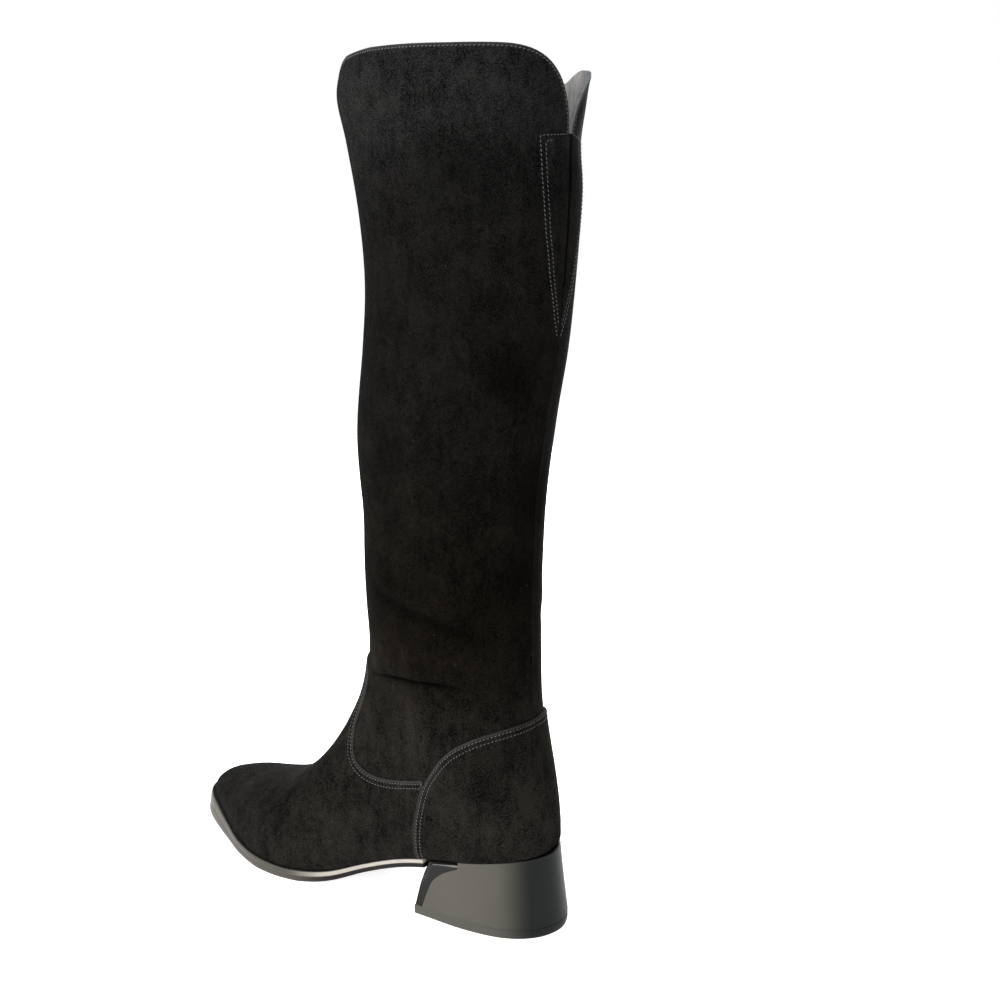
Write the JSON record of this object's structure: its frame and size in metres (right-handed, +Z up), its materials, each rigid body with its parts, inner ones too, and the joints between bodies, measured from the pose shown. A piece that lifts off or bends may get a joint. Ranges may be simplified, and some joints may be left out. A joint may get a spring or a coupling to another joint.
{
  "type": "tall boot",
  "caption": "Tall black suede boot for the left foot, with a block heel, an inner-side zip, a notched collar and an elastic gore at the back.",
  "frame": {"origin": "middle of the part's box in plan, on the floor that the heel and forefoot stand on", "axes": "+X towards the toe, +Y to the outer side of the left foot, +Z up the shaft"},
  "size_m": [0.2688, 0.1114, 0.459],
  "materials": {
    "suede": "black suede, napped",
    "lining": "taupe lining leather",
    "sole": "satin black",
    "heel_gloss": "gloss black",
    "heel_satin": "satin black",
    "elastic": "ribbed black elastic",
    "tape": "woven black tape",
    "coil": "black nylon coil",
    "silver": "antique silver, brushed"
  },
  "bodies": {
    "boot": {"upper": "suede", "vamp": "suede", "counter": "suede", "insole": "lining", "outsole": "sole", "heel_core": "heel_gloss", "heel_cover": "heel_satin", "heel_tip": "sole", "back_gore": "elastic", "zip_tape": "tape", "zip_chain": "coil", "zip_slider": "silver"},
    "pull_tab": {"zip_pull_tab": "silver"}
  },
  "joints": [
    {"name": "pull_tab_swing", "type": "hinge", "parent": "boot", "child": "pull_tab", "pos_m": [-0.08018, -0.05302, 0.44621], "axis": [-0.9878, 0.1559, 0], "range_deg": [0, 150]}
  ]
}
